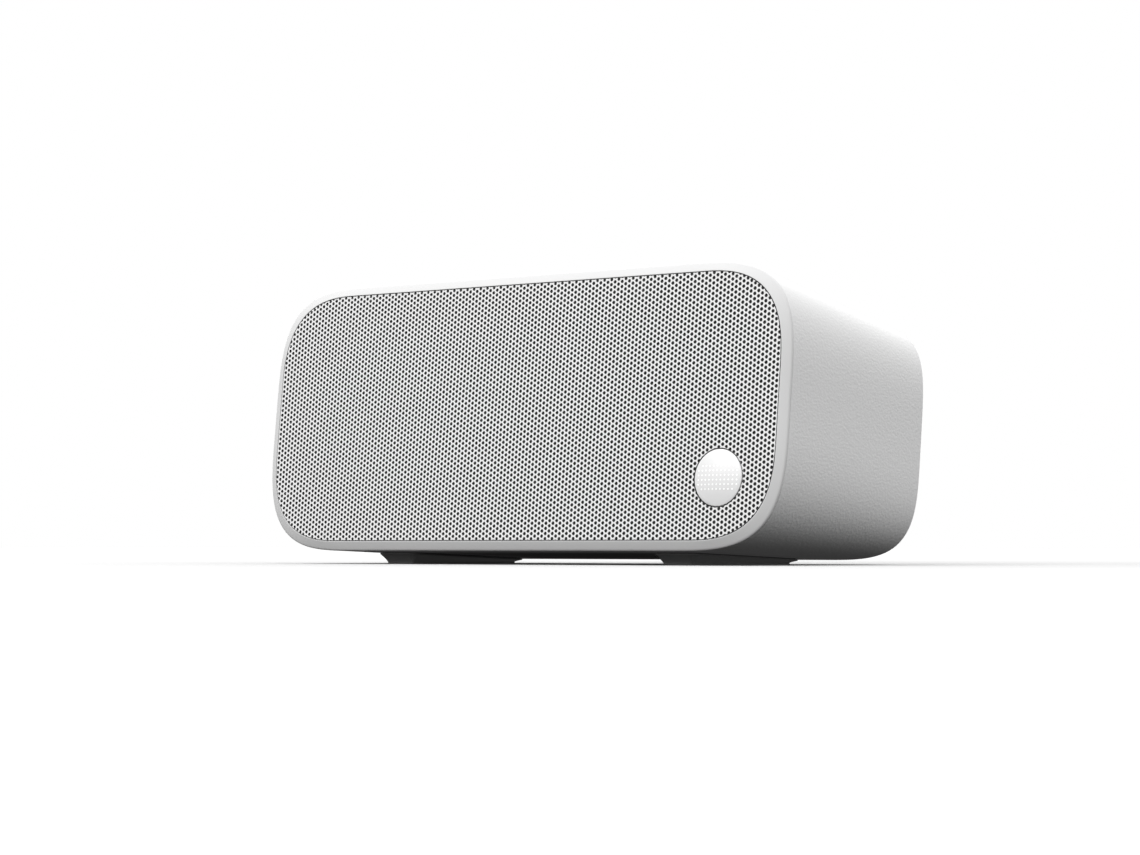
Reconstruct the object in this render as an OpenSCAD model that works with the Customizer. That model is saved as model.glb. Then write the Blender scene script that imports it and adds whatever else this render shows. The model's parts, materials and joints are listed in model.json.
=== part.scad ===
// Smart speaker: a leaning, drafted cabinet with a perforated metal face, two
// woofers, two tweeters and one round display button. Millimetres, +Z up, +X to
// the listener's right, -Y towards the listener. The origin is on the floor,
// under the middle of the bounding box.

/* [Face] */
// Width of the front rim's outer edge
face_w = 324.9; // [300:0.1:350]
// Height of the front rim's outer edge, measured along the face
face_h = 136.5; // [125:0.1:150]
// Size of the rim's corner curve
face_r = 63.5; // [55:0.5:66]
// Exponent of the rim's corner curve; 2 is a circular arc
face_e = 3.5; // [2:0.1:4]
// How far the face leans back from upright, in degrees
lean = 6.2; // [0:0.1:10]
// How far the rim's outer edge lies behind the grille's face
bevel_d = 2; // [1:0.1:4]

/* [Cabinet] */
// Depth from the grille's face to the rear edge
depth = 131.5; // [120:0.5:150]
// How much smaller the rear edge is than the rim, on each side
draft = 9.4; // [0:0.1:12]
// Size of the rear edge's corner curve
rear_r = 54.6; // [45:0.1:57]
// Exponent of the rear edge's corner curve
rear_e = 3.9; // [2:0.1:4]
// Thickness of the moulded wall
wall = 3; // [2:0.5:4]
// Gap from the floor to the bottom of the rim
rim_gap = 6.7; // [5:0.1:12]

/* [Grille] */
// Width of the perforated sheet
grille_w = 314.3; // [290:0.1:330]
// Height of the perforated sheet
grille_h = 126.1; // [115:0.1:135]
// Size of the sheet's corner curve
grille_r = 46.4; // [40:0.1:60]
// Exponent of the sheet's corner curve
grille_e = 2.7; // [2:0.1:4]
// Thickness of the sheet
grille_t = 0.5; // [0.4:0.1:1]
// Gap between the sheet's edge and the rim
grille_gap = 0.4; // [0.2:0.1:0.6]

/* [Button] */
// Distance of the button's centre to the right of the face's centre
button_x = 126.3; // [120:0.1:130]
// Distance of the button's centre above the face's centre
button_v = -34.3; // [-40:0.1:-30]
// Radius of the button cap
button_r = 13.4; // [12:0.1:15]
// Height of the cap's crown
crown_h = 1.1; // [0.4:0.1:1.5]
// Gap round the button cap
button_gap = 0.5; // [0.3:0.05:0.6]
// How far the button travels
button_travel = 0.6; // [0.3:0.1:0.6]
// Distance between neighbouring light dots
dot_pitch = 2.15; // [2:0.05:2.2]
// Radius of a light dot
dot_r = 0.48; // [0.4:0.01:0.5]

/* [Drivers] */
// Distance of each woofer from the middle of the face
woofer_x = 66; // [64:1:68]
// Height of the woofers above the face's centre
woofer_v = 2; // [0:1:4]
// Distance of each tweeter from the middle of the face
tweeter_x = 130; // [128:1:131]
// Height of the tweeters above the face's centre
tweeter_v = 26; // [24:1:28]

/* [Rear] */
// Height of the bass port above the face's centre
port_v = 12; // [8:1:16]
// Bore radius of the bass port
port_r = 17; // [14:0.5:18]
// Height of the mains inlet above the face's centre
inlet_v = -36; // [-38:1:-34]

/* [Feet] */
// Distance of each foot's middle from the speaker's middle
foot_x = 88; // [70:1:92]
// Width of a foot's sole
foot_w = 17.5; // [12:0.5:24]
// Length of a foot's sole
foot_l = 82; // [60:1:90]
// How far the foot spreads from its sole up to the cabinet
foot_flare = 4; // [2:0.5:5]

/* [Hidden] */
$fn = 64;
hair = 0.05; // clearance round a screw or a light dot
skin = 0.01; // thickness of the flat ends that a hull joins
fit_gap = 0.3; // left round a part that slides into the cabinet
screw_r = 1.5;
small_screw_r = 1.2;
clear_r = 1.7; // hole that a screw passes freely
cut = 1; // how far a cutting shape runs past a face
corner_steps = 18; // outline segments in one corner

// Depths behind the grille's face
cloth_t = 0.3;
ledge_d = grille_t + cloth_t;
rim_back_d = bevel_d + 1;
shell_front_d = rim_back_d + 0.2;
lip_w = 0.3; // flat edge of the rim round the grille
ledge_w = 3; // how far the rim's ledge reaches behind the grille
spigot_t = 2.2; // wall of the rim's spigot inside the cabinet
baffle_d = 8;
baffle_t = 5;
baffle_back_d = baffle_d + baffle_t;
seat_d = baffle_back_d + 1.5;
seat_t = 3;
seat_reach = 6;
post_r = 4.6;
post_l = 14;
panel_d = depth - 4.5;
panel_t = 3;
board_t = 1.6;
board_d = panel_d - 8 - board_t;

// Light dots: six rows of eleven with the two outer rows shorter
dot_rows = 6;
dot_columns = 11;
dots = [
    for (row = [0 : dot_rows - 1], column = [0 : dot_columns - 1])
        let (outer_row = row == 0 || row == dot_rows - 1,
             outer_column = column == 0 || column == dot_columns - 1)
        if (!(outer_row && outer_column))
            [(column - (dot_columns - 1) / 2) * dot_pitch, (row - (dot_rows - 1) / 2) * dot_pitch]
];
guide_half = [11.45, 6.3];
guide_d = [1.25, 2.5]; // front and back of the light guide's plate
cap_face_d = 1.2;
cap_skirt_r = 12.2;
cap_flange_r = 14.5; // keeps the cap behind the housing's lip
cap_flange_d = [3.9, 4.4];
housing_r = 17;
housing_lip_d = 3.5;
well_r = 15;
well_d = 7;
lead_hole_r = 3;
led_board_d = 5.6;
led_d = 5;
switch_half = 2;
switch_d = 4.2;
plunger_r = 0.8;
plunger_v = 9.2;
plunger_d = 3.4;
plunger_end_d = 4.7;
switch_clear = 0.2; // left under a plunger that is pressed in

// Screw places on the face, as [right, up]
wall_screw_v = 59;
baffle_screws_at = [
    for (x = [-108, -36, 36, 108], v = [-wall_screw_v, wall_screw_v]) [x, v],
    for (x = [-153.4, 153.4]) [x, -5]
];
rear_screws_at = [
    for (x = [-105, -35, 35, 105], v = [-51.7, 51.7]) [x, v],
    for (x = [-146, 146]) [x, 0]
];
board_x = 82;
board_half = [54, 32];
board_inset = 4;
foot_screws_y = [-30, 14];
foot_y = -7.5;

woofer_r = 46;
woofer_opening_r = 40;
woofer_bolt_r = 43.2;
woofer_bolts = 4;
tweeter_r = 19;
tweeter_opening_r = 13;
tweeter_dome_r = 11;
tweeter_bolt_r = 16.2;
tweeter_bolts = 3;
tweeter_seat_d = 6.6;
tweeter_can_d = 14;

// The face's centre, placed so that the bounding box is centred over the origin
face_z = rim_gap + face_h / 2 * cos(lean) + bevel_d * sin(lean);
front_y = -(grille_h / 2 + grille_gap) * sin(lean);
back_y = depth * cos(lean) + (face_h / 2 - draft) * sin(lean);
face_y = -(front_y + back_y) / 2;

// Underside of the cabinet, for the feet
under_front = under(shell_front_d);
under_back = under(depth);
under_slope = atan2(under_back.y - under_front.y, under_back.x - under_front.x);

// ---- Frame and outlines ----

// Local frame of the face: X right, Y up the face, Z out towards the listener
module on_face() translate([0, face_y, face_z]) rotate([-lean, 0, 0]) rotate([90, 0, 0]) children();

// A flat shape made solid between two depths behind the face
module slab(from, to) translate([0, 0, -to]) linear_extrude(to - from) children();

// Moves a shape to a place on the face
module at(x, v) translate([x, v, 0]) children();

// A round bar between two depths
module bar(r, from, to) translate([0, 0, -to]) cylinder(r = r, h = to - from);

// A ring between two depths
module ring(r_in, r_out, from, to) difference() {
    bar(r_out, from, to);
    bar(r_in, from - cut, to + cut);
}

// A profile of [radius, depth] points turned about the face's normal
module turned(profile) rotate_extrude() polygon([for (p = profile) [p.x, -p.y]]);

// A block centred on the face between two depths
module block(half_x, half_v, from, to) slab(from, to) square([2 * half_x, 2 * half_v], center = true);

// One corner's curve: a superellipse of size r and exponent e, as a unit direction's reach
function reach(a, e) = pow(pow(abs(cos(a)), e) + pow(abs(sin(a)), e), -1 / e);

// A rounded rectangle whose corners are superellipse quarters
function outline(w, h, r, e) = [
    for (quarter = [0 : 3], step = [0 : corner_steps])
        let (a = 90 * (quarter + step / corner_steps),
             sx = quarter == 0 || quarter == 3 ? 1 : -1,
             sv = quarter < 2 ? 1 : -1)
        [sx * (w / 2 - r) + r * cos(a) * reach(a, e), sv * (h / 2 - r) + r * sin(a) * reach(a, e)]
];

// The cabinet's inset at a depth, which grows evenly from the rim to the rear edge
function inset(d) = draft * (d - bevel_d) / (depth - bevel_d);

// Front edge of the underside at a depth, as [y, z] of the whole speaker
function under(d) = let (v = -(face_h / 2 - inset(d)))
    [face_y + d * cos(lean) + v * sin(lean), face_z + v * cos(lean) - d * sin(lean)];

// The cabinet's outline at a depth, shrunk evenly: the rim's outline turns evenly into the rear edge's
function body_outline(d, shrink) = let (
    f = (d - bevel_d) / (depth - bevel_d),
    near = outline(face_w - 2 * shrink, face_h - 2 * shrink, face_r - shrink, face_e),
    far = outline(face_w - 2 * (draft + shrink), face_h - 2 * (draft + shrink), rear_r - shrink, rear_e)
) [for (i = [0 : len(near) - 1]) near[i] * (1 - f) + far[i] * f];

// The cabinet's drafted solid between two depths, shrunk evenly on each side
module drafted(from, to, shrink) hull() {
    slab(from, from + skin) polygon(body_outline(from, shrink));
    slab(to - skin, to) polygon(body_outline(to, shrink));
}

// The grille's outline, grown or shrunk on each side
module grille_outline(grow)
    polygon(outline(grille_w + 2 * grow, grille_h + 2 * grow, grille_r + grow, grille_e));

// Screw with its head on the listener's side, seated at a depth
module screw(seat, shank_r, head_r, head_h, length) {
    difference() {
        bar(head_r, seat - head_h, seat);
        bar(head_r / 2.2, seat - head_h - cut, seat - head_h / 2, $fn = 6);
    }
    bar(shank_r, seat, seat + length);
}

// A dome's profile from its axis out to its edge, as [radius, depth]
dome_steps = 8;
function dome(r, h, edge_d) = [for (i = [0 : dome_steps]) let (f = i / dome_steps)
    [r * f, edge_d - h * (1 - f * f)]];

function reversed(points) = [for (i = [len(points) - 1 : -1 : 0]) points[i]];

// ---- Front ----

module cabinet_shell() color("whitesmoke") difference() {
    drafted(shell_front_d, depth, 0);
    drafted(shell_front_d - cut, depth + cut, wall);
    foot_screw_places(-cut) cylinder(r = clear_r, h = 20);
}

// Moulded frame inside the cabinet that the baffle is screwed to
module seat_frame() color("white") difference() {
    union() {
        difference() {
            drafted(seat_d, seat_d + seat_t, wall + hair);
            drafted(seat_d - cut, seat_d + seat_t + cut, wall + seat_reach);
        }
        intersection() {
            for (p = baffle_screws_at) at(p.x, p.y) bar(post_r, seat_d, seat_d + post_l);
            drafted(seat_d - cut, seat_d + post_l + cut, wall + 4 * hair);
        }
    }
    for (p = baffle_screws_at) at(p.x, p.y) bar(screw_r + hair, seat_d - cut, seat_d + post_l - 2);
}

// Posts inside the cabinet for the rear panel's and the feet's screws, and on the panel for the boards'
module screw_posts() color("white") {
    difference() {
        intersection() {
            union() {
                for (p = rear_screws_at) at(p.x, p.y) bar(post_r, panel_d - post_l, panel_d);
                foot_screw_places(3) cylinder(r = post_r, h = 9.7);
            }
            drafted(shell_front_d, depth, wall + hair);
        }
        for (p = rear_screws_at) at(p.x, p.y) bar(screw_r + hair, panel_d - post_l + 2, panel_d + cut);
        foot_screw_places(-cut) cylinder(r = screw_r + hair, h = 20);
    }
    for (side = [-1, 1]) at(side * board_x, 0) board_corners()
        ring(small_screw_r + hair, 3, board_d + board_t, panel_d);
}

// Puts a shape on the axis of each foot screw, at a height above the floor
module foot_screw_places(z) face_to_floor() for (x = [-foot_x, foot_x], y = foot_screws_y)
    translate([x, y, z]) children();

// Turns a shape given in the speaker's own frame into the face's local frame
module face_to_floor()
    rotate([-90, 0, 0]) rotate([lean, 0, 0]) translate([0, -face_y, -face_z]) children();

module front_rim() color("white") {
    difference() {
        hull() {
            slab(0, skin) grille_outline(grille_gap + lip_w);
            drafted(bevel_d, rim_back_d, 0);
        }
        slab(-cut, ledge_d) grille_outline(grille_gap);
        slab(-cut, rim_back_d + cut) grille_outline(-ledge_w);
    }
    difference() {
        drafted(rim_back_d - fit_gap, baffle_d, wall + fit_gap);
        drafted(rim_back_d - cut, baffle_d + cut, wall + fit_gap + spigot_t);
    }
}

module grille() color("gainsboro") difference() {
    slab(0, grille_t) grille_outline(0);
    at(button_x, button_v) bar(button_r + button_gap, -cut, grille_t + cut);
}

module grille_cloth() color("dimgray") difference() {
    slab(grille_t, ledge_d) grille_outline(grille_gap - hair);
    at(button_x, button_v) bar(housing_r + fit_gap, 0, baffle_d);
}

module baffle() color("darkgray") difference() {
    drafted(baffle_d, baffle_back_d, wall + fit_gap);
    for (side = [-1, 1]) {
        at(side * woofer_x, woofer_v) {
            baffle_hole(woofer_opening_r);
            bolt_ring(woofer_bolts, woofer_bolt_r) baffle_hole(screw_r + hair);
        }
        at(side * tweeter_x, tweeter_v) {
            baffle_hole(tweeter_opening_r);
            bolt_ring(tweeter_bolts, tweeter_bolt_r) baffle_hole(small_screw_r + hair);
        }
    }
    at(button_x, button_v) baffle_hole(lead_hole_r);
    for (p = baffle_screws_at) at(p.x, p.y) baffle_hole(clear_r);
}

// A round hole through the baffle's board
module baffle_hole(r) bar(r, baffle_d - cut, baffle_back_d + cut);

module bolt_ring(count, r) for (i = [0 : count - 1]) rotate(360 / count * (i + 0.5)) at(r, 0) children();

module baffle_gasket() color("black") difference() {
    drafted(baffle_back_d, seat_d, wall + fit_gap);
    drafted(baffle_back_d - cut, seat_d + cut, wall + seat_reach);
    for (p = baffle_screws_at) at(p.x, p.y) bar(clear_r, baffle_back_d - cut, seat_d + cut);
}

// ---- Display button ----

function crown(r) = crown_h * (1 - pow(r / button_r, 2));

module button_cap() color("white") at(button_x, button_v) {
    difference() {
        turned(concat(
            [for (i = [0 : 10]) let (r = (button_r - 0.4) * i / 10) [r, -0.1 - crown(r)]],
            [[button_r - 0.1, 0.05], [button_r, 0.4], [button_r, cap_flange_d[0]],
             [cap_flange_r, cap_flange_d[0]], [cap_flange_r, cap_flange_d[1]],
             [cap_skirt_r, cap_flange_d[1]], [cap_skirt_r, cap_face_d], [0, cap_face_d]]
        ));
        for (p = dots) at(p.x, p.y) bar(dot_r + 0.02, -crown_h - cut, cap_face_d + cut, $fn = 24);
    }
    for (v = [-plunger_v, plunger_v]) at(0, v) bar(plunger_r + 0.5, cap_face_d, plunger_d);
}

module light_guide() color("aliceblue") at(button_x, button_v) {
    intersection() {
        block(guide_half.x, guide_half.y, guide_d[0], guide_d[1]);
        bar(cap_skirt_r - fit_gap, guide_d[0] - cut, guide_d[1] + cut);
    }
    for (p = dots) at(p.x, p.y) bar(dot_r, -0.06 - crown(norm(p)), guide_d[0] + hair, $fn = 24);
}

module switch_plungers() color("dimgray") at(button_x, button_v)
    for (v = [-plunger_v, plunger_v]) at(0, v) bar(plunger_r, plunger_d, plunger_end_d);

module button_housing() color("darkgray") at(button_x, button_v)
    turned([[button_r + button_gap, ledge_d + hair], [housing_r, ledge_d + hair], [housing_r, baffle_d],
            [lead_hole_r, baffle_d], [lead_hole_r, well_d], [well_r, well_d], [well_r, housing_lip_d],
            [button_r + button_gap, housing_lip_d]]);

module led_board() color("darkgreen") at(button_x, button_v) ring(1, well_r - 0.2, led_board_d, well_d);

module led_chips() color("ivory") at(button_x, button_v)
    for (p = dots) at(p.x, p.y) block(0.5, 0.5, led_d, led_board_d);

module tact_switches() color("black") at(button_x, button_v)
    for (v = [-plunger_v, plunger_v]) at(0, v) difference() {
        block(switch_half, switch_half, switch_d, led_board_d);
        bar(plunger_r + hair, switch_d - cut, plunger_end_d + button_travel + switch_clear);
    }

module microphone_board() color("darkgreen") at(0, 50) {
    block(30, 4, baffle_d - 1.2, baffle_d);
    for (x = [-22, 22]) at(x, 0) difference() {
        block(2, 1.5, baffle_d - 2.2, baffle_d - 1.2);
        bar(0.4, baffle_d - 2.4, baffle_d - 1.4);
    }
}

// ---- Woofers: shapes about the driver's own axis ----

flange_d = baffle_d - 1.4;
basket_back_d = 36;
plate_back_d = 40;
magnet_back_d = 50;
yoke_back_d = 54;
plate_r = 22;
plate_hole_r = 10.6;
pole_r = 9.35;
coil_r = [9.75, 10.2]; // inner and outer
spider_d = 28.4;
dust_cap_r = 13;
dust_cap_d = 17.9;

module woofer_at(side) at(side * woofer_x, woofer_v) children();

module woofer_basket(side) color("dimgray") woofer_at(side) difference() {
    union() {
        turned([[38.2, flange_d], [woofer_r, flange_d], [woofer_r, baffle_d], [39.5, baffle_d],
                [26, basket_back_d - 2], [26, basket_back_d], [11.2, basket_back_d],
                [11.2, basket_back_d - 1.4], [24.6, basket_back_d - 1.4], [38.2, baffle_d + 0.4]]);
        turned([[22, spider_d], [28.2, spider_d], [27.6, spider_d + 1.2], [22, spider_d + 1.2]]);
    }
    bolt_ring(woofer_bolts, woofer_bolt_r) bar(clear_r, flange_d - cut, baffle_d + cut);
    for (i = [0 : 2]) rotate(60 * i) slab(15.5, 26) square([100, 15], center = true);
}

module woofer_top_plate(side) color("silver") woofer_at(side)
    ring(plate_hole_r, plate_r, basket_back_d, plate_back_d);

module woofer_magnet(side) color("darkslategray") woofer_at(side)
    ring(12.5, 25, plate_back_d, magnet_back_d);

module woofer_yoke(side) color("silver") woofer_at(side) {
    bar(plate_r, magnet_back_d, yoke_back_d);
    bar(pole_r, basket_back_d, magnet_back_d + hair);
}

module woofer_spider(side) color("goldenrod") woofer_at(side) {
    waves = 4;
    steps = 32;
    r_in = plate_hole_r;
    r_out = 24;
    wave_h = 0.35;
    cloth = 0.5;
    flat_from = 0.85; // share of the way out at which the glued flat edge starts
    back = [for (i = [0 : steps])
        let (f = i / steps,
             h = f < flat_from ? wave_h : 0)
        [r_in + (r_out - r_in) * f, spider_d - 0.7 - h * sin(360 * waves * f)]
    ];
    turned(concat(back, [for (p = reversed(back)) [p.x, p.y + cloth]]));
}

surround_r = 36.2;
surround_skin = 0.4;
surround_steps = 12;
function surround_roll(r) = [for (i = [0 : surround_steps]) let (a = 180 * i / surround_steps)
    [surround_r + r * cos(a), flange_d - r * sin(a)]];

module woofer_surround(side) color("black") woofer_at(side) {
    roll = 2.6;
    turned(concat(
        [[40.2, flange_d], [40.2, flange_d - surround_skin]],
        surround_roll(roll),
        reversed(surround_roll(roll - surround_skin))
    ));
}

module woofer_cone(side) color("gray") woofer_at(side)
    turned([[33.2, 9.3], [33.2, 10.1], [11, 20.2], [11, 22.5], [10.2, 22.5], [10.2, 19.6]]);

module woofer_dust_cap(side) color("dimgray") woofer_at(side)
    turned(concat(dome(dust_cap_r, 4, dust_cap_d), reversed(dome(dust_cap_r, 4, dust_cap_d + 0.4))));

module woofer_voice_coil(side) color("orange") woofer_at(side) ring(coil_r[0], coil_r[1], 20, 44);

// ---- Tweeters ----

module tweeter_at(side) at(side * tweeter_x, tweeter_v) children();

module tweeter_faceplate(side) color("dimgray") tweeter_at(side) difference() {
    turned([[11.2, 7.3], [13.4, tweeter_seat_d], [tweeter_r - 0.6, tweeter_seat_d], [tweeter_r, 7.1],
            [tweeter_r, baffle_d], [11.2, baffle_d]]);
    bolt_ring(tweeter_bolts, tweeter_bolt_r) bar(1.3, tweeter_seat_d - cut, baffle_d + cut);
}

module tweeter_dome(side) color("silver") tweeter_at(side)
    turned(concat(dome(tweeter_dome_r, 3.6, 7.6), reversed(dome(tweeter_dome_r, 3.6, 7.9))));

module tweeter_motor(side) color("silver") tweeter_at(side) {
    bar(tweeter_opening_r - 0.4, baffle_d, tweeter_can_d);
    bar(tweeter_dome_r - 0.5, tweeter_can_d, tweeter_can_d + 7);
}

// ---- Rear ----

port_wall = 2;
flare_r = 24;
port_front_d = 58;
flare_l = 10;
flare_steps = 6;
flare = [for (i = [0 : flare_steps]) let (a = 90 * i / flare_steps)
    [port_r + (flare_r - port_r) * (1 - cos(a)), panel_d + panel_t - flare_l * (1 - sin(a))]];

rear_head_r = 2.9;
rear_head_h = 1.2;

module rear_panel() color("whitesmoke") difference() {
    drafted(panel_d, panel_d + panel_t, wall + fit_gap);
    at(0, port_v) bar(flare_r + 0.02, panel_d - cut, panel_d + panel_t + cut);
    at(0, inlet_v) block(11, 7.5, panel_d - cut, panel_d + panel_t + cut);
    for (p = rear_screws_at) at(p.x, p.y) {
        bar(clear_r, panel_d - cut, panel_d + panel_t + cut);
        bar(rear_head_r + 0.2, panel_d + panel_t - rear_head_h, panel_d + panel_t + cut);
    }
}

// The places of a board's four screws
module board_corners() for (sx = [-1, 1], sv = [-1, 1])
    at(sx * (board_half.x - board_inset), sv * (board_half.y - board_inset)) children();

module port_tube() color("black") at(0, port_v)
    turned(concat(
        [[port_r + port_wall, port_front_d], [port_r, port_front_d]],
        flare,
        [[flare_r, panel_d + panel_t - 0.6], [flare_r - 1, panel_d - 1.5],
         [port_r + port_wall, panel_d - 8]]
    ));

inlet_floor_d = panel_d + panel_t - 16;
pole_half = 4.3; // half the distance between the inlet's pins
pin_r = 1.2;
lobe_r = 4.2;
lobe_half = 3.2;

module mains_inlet() color("black") at(0, inlet_v) difference() {
    union() {
        block(10.9, 7.4, panel_d - 0.5, panel_d + panel_t);
        block(9.5, 6, inlet_floor_d - 2, panel_d);
    }
    slab(inlet_floor_d, panel_d + panel_t + cut) union() {
        square([2 * lobe_half, 2 * lobe_r], center = true);
        for (x = [-lobe_half, lobe_half]) translate([x, 0]) circle(r = lobe_r);
    }
    for (x = [-pole_half, pole_half]) at(x, 0) bar(pin_r, inlet_floor_d - 3, inlet_floor_d + cut);
}

module inlet_pins() color("silver") at(0, inlet_v)
    for (x = [-pole_half, pole_half]) at(x, 0) bar(pin_r, inlet_floor_d - 5, inlet_floor_d + 11);

// ---- Electronics on the rear panel ----

module board(side) at(side * board_x, 0) difference() {
    block(board_half.x, board_half.y, board_d, board_d + board_t);
    board_corners() bar(small_screw_r + 0.2, board_d - cut, board_d + board_t + cut);
}

module amplifier_board() color("darkgreen") board(-1);

module power_board() color("darkgreen") board(1);

module heat_sink() color("silver") at(-board_x - 6, 6) {
    fins = 8;
    pitch = 6;
    fin_t = 1.6;
    block(24, 18, board_d - 3, board_d);
    for (i = [0 : fins - 1]) at((i - (fins - 1) / 2) * pitch, 0)
        block(fin_t / 2, 18, board_d - 20, board_d - 2.5);
}

// Four on the amplifier's board and a large one on the power board
module capacitors() color("navy") {
    for (i = [0 : 3]) at(-board_x - 36 + 15 * i, -23) bar(5, board_d - 18, board_d);
    at(board_x - 28, 12) bar(9, board_d - 30, board_d);
}

module wireless_module() color("silver") at(-board_x + 36, 10) {
    block(11, 16, board_d - 1, board_d);
    block(9, 11, board_d - 3.2, board_d - 0.9);
}

module transformer() color("goldenrod") at(board_x + 18, 4) {
    block(20, 17, board_d - 5, board_d);
    block(17, 13, board_d - 26, board_d - 4.9);
    block(20, 17, board_d - 30, board_d - 25.9);
}

module damping(side) color("dimgray") at(side * 144, 3) block(6, 22, 60, 106);

// A lead bundle in straight runs with round bends, through points of [right, up, depth]
module lead(points, r) for (i = [1 : len(points) - 1]) hull() for (p = [points[i - 1], points[i]])
    translate([p.x, p.y, -p.z]) sphere(r = r, $fn = 10);

lead_r = 1.2;
lead_start_d = board_d - lead_r - hair;

module driver_leads() color("crimson") {
    lead([[-60, -26, lead_start_d], [-60, -26, 100], [-66, -40, 84], [-66, -40, 62], [-66, -28, 46],
          [-66, -24.3, 46]], lead_r);
    lead([[-50, -26, lead_start_d], [-50, -26, 96], [-30, -42, 84], [66, -42, 84], [66, -40, 62],
          [66, -28, 46], [66, -24.3, 46]], lead_r);
}

// ---- Feet, drawn in the speaker's own frame ----

foot_head_r = 2.8;
foot_head_d = 2; // how deep the screw's seat is in the sole

module foot(side) difference() {
    hull() {
        translate([side * foot_x - foot_w / 2, foot_y - foot_l / 2, 0]) cube([foot_w, foot_l, 1]);
        translate([side * foot_x, under_front.x, under_front.y]) rotate([under_slope, 0, 0])
            translate([-foot_w / 2 - foot_flare, foot_y - foot_l / 2 - foot_flare - under_front.x, -0.1])
                cube([foot_w + 2 * foot_flare, foot_l + 2 * foot_flare, 0.1]);
    }
    for (y = foot_screws_y) translate([side * foot_x, y, 0]) {
        translate([0, 0, -cut]) cylinder(r = foot_head_r + 0.2, h = cut + foot_head_d);
        translate([0, 0, -cut]) cylinder(r = clear_r, h = 12);
    }
}

module left_foot() color("dimgray") foot(-1);
module right_foot() color("dimgray") foot(1);

// ---- Screws ----

module baffle_screws() color("dimgray") for (p = baffle_screws_at) at(p.x, p.y)
    screw(baffle_d, screw_r, head_r = 2.8, head_h = 1.8, length = 17);

module driver_screws() color("black") for (side = [-1, 1]) {
    woofer_at(side) bolt_ring(woofer_bolts, woofer_bolt_r)
        screw(flange_d, screw_r, head_r = 2.6, head_h = 1.8, length = 6);
    tweeter_at(side) bolt_ring(tweeter_bolts, tweeter_bolt_r)
        screw(tweeter_seat_d, small_screw_r, head_r = 2, head_h = 1.2, length = 5.5);
}

// Rear and board screws face the back, so they are turned about their seat
module from_behind(seat) translate([0, 0, -seat]) mirror([0, 0, 1]) children();

module rear_screws() color("dimgray") for (p = rear_screws_at) at(p.x, p.y)
    from_behind(panel_d + panel_t - rear_head_h) screw(0, screw_r, rear_head_r, rear_head_h, length = 12);

module board_screws() color("silver") for (side = [-1, 1])
    at(side * board_x, 0) board_corners()
        screw(board_d, small_screw_r, head_r = 2.2, head_h = 1.4, length = 7);

module foot_screws() color("silver") for (x = [-foot_x, foot_x], y = foot_screws_y)
    translate([x, y, 0]) {
        difference() {
            translate([0, 0, foot_head_d - 1.4]) cylinder(r = foot_head_r, h = 1.4);
            cylinder(r = 1.3, h = 1.3, $fn = 6);
        }
        translate([0, 0, foot_head_d]) cylinder(r = screw_r, h = 9);
    }

on_face() cabinet_shell();
on_face() seat_frame();
on_face() screw_posts();
on_face() front_rim();
on_face() grille();
on_face() grille_cloth();
on_face() baffle();
on_face() baffle_gasket();
on_face() button_cap();
on_face() light_guide();
on_face() switch_plungers();
on_face() button_housing();
on_face() led_board();
on_face() led_chips();
on_face() tact_switches();
on_face() microphone_board();
on_face() woofer_basket(-1);  // left_woofer_basket
on_face() woofer_top_plate(-1);  // left_woofer_top_plate
on_face() woofer_magnet(-1);  // left_woofer_magnet
on_face() woofer_yoke(-1);  // left_woofer_yoke
on_face() woofer_spider(-1);  // left_woofer_spider
on_face() woofer_surround(-1);  // left_woofer_surround
on_face() woofer_cone(-1);  // left_woofer_cone
on_face() woofer_dust_cap(-1);  // left_woofer_dust_cap
on_face() woofer_voice_coil(-1);  // left_woofer_voice_coil
on_face() woofer_basket(1);  // right_woofer_basket
on_face() woofer_top_plate(1);  // right_woofer_top_plate
on_face() woofer_magnet(1);  // right_woofer_magnet
on_face() woofer_yoke(1);  // right_woofer_yoke
on_face() woofer_spider(1);  // right_woofer_spider
on_face() woofer_surround(1);  // right_woofer_surround
on_face() woofer_cone(1);  // right_woofer_cone
on_face() woofer_dust_cap(1);  // right_woofer_dust_cap
on_face() woofer_voice_coil(1);  // right_woofer_voice_coil
on_face() tweeter_faceplate(-1);  // left_tweeter_faceplate
on_face() tweeter_dome(-1);  // left_tweeter_dome
on_face() tweeter_motor(-1);  // left_tweeter_motor
on_face() tweeter_faceplate(1);  // right_tweeter_faceplate
on_face() tweeter_dome(1);  // right_tweeter_dome
on_face() tweeter_motor(1);  // right_tweeter_motor
on_face() rear_panel();
on_face() port_tube();
on_face() mains_inlet();
on_face() inlet_pins();
on_face() amplifier_board();
on_face() heat_sink();
on_face() wireless_module();
on_face() power_board();
on_face() transformer();
on_face() capacitors();
on_face() damping(-1);  // left_damping
on_face() damping(1);  // right_damping
on_face() driver_leads();
left_foot();
right_foot();
on_face() baffle_screws();
on_face() driver_screws();
on_face() rear_screws();
on_face() board_screws();
foot_screws();
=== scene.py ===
"""A smart speaker's visual model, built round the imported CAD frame.

Lengths in this script are millimetres in the face's own frame: x to the right,
v up the leaning face and d the depth behind the grille. place() turns them into
the scene's metres. The stage, the light and the camera are set out in metres.
"""
import json
import math

import bpy
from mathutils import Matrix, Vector
from mathutils.geometry import delaunay_2d_cdt
from mathutils.kdtree import KDTree


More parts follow.
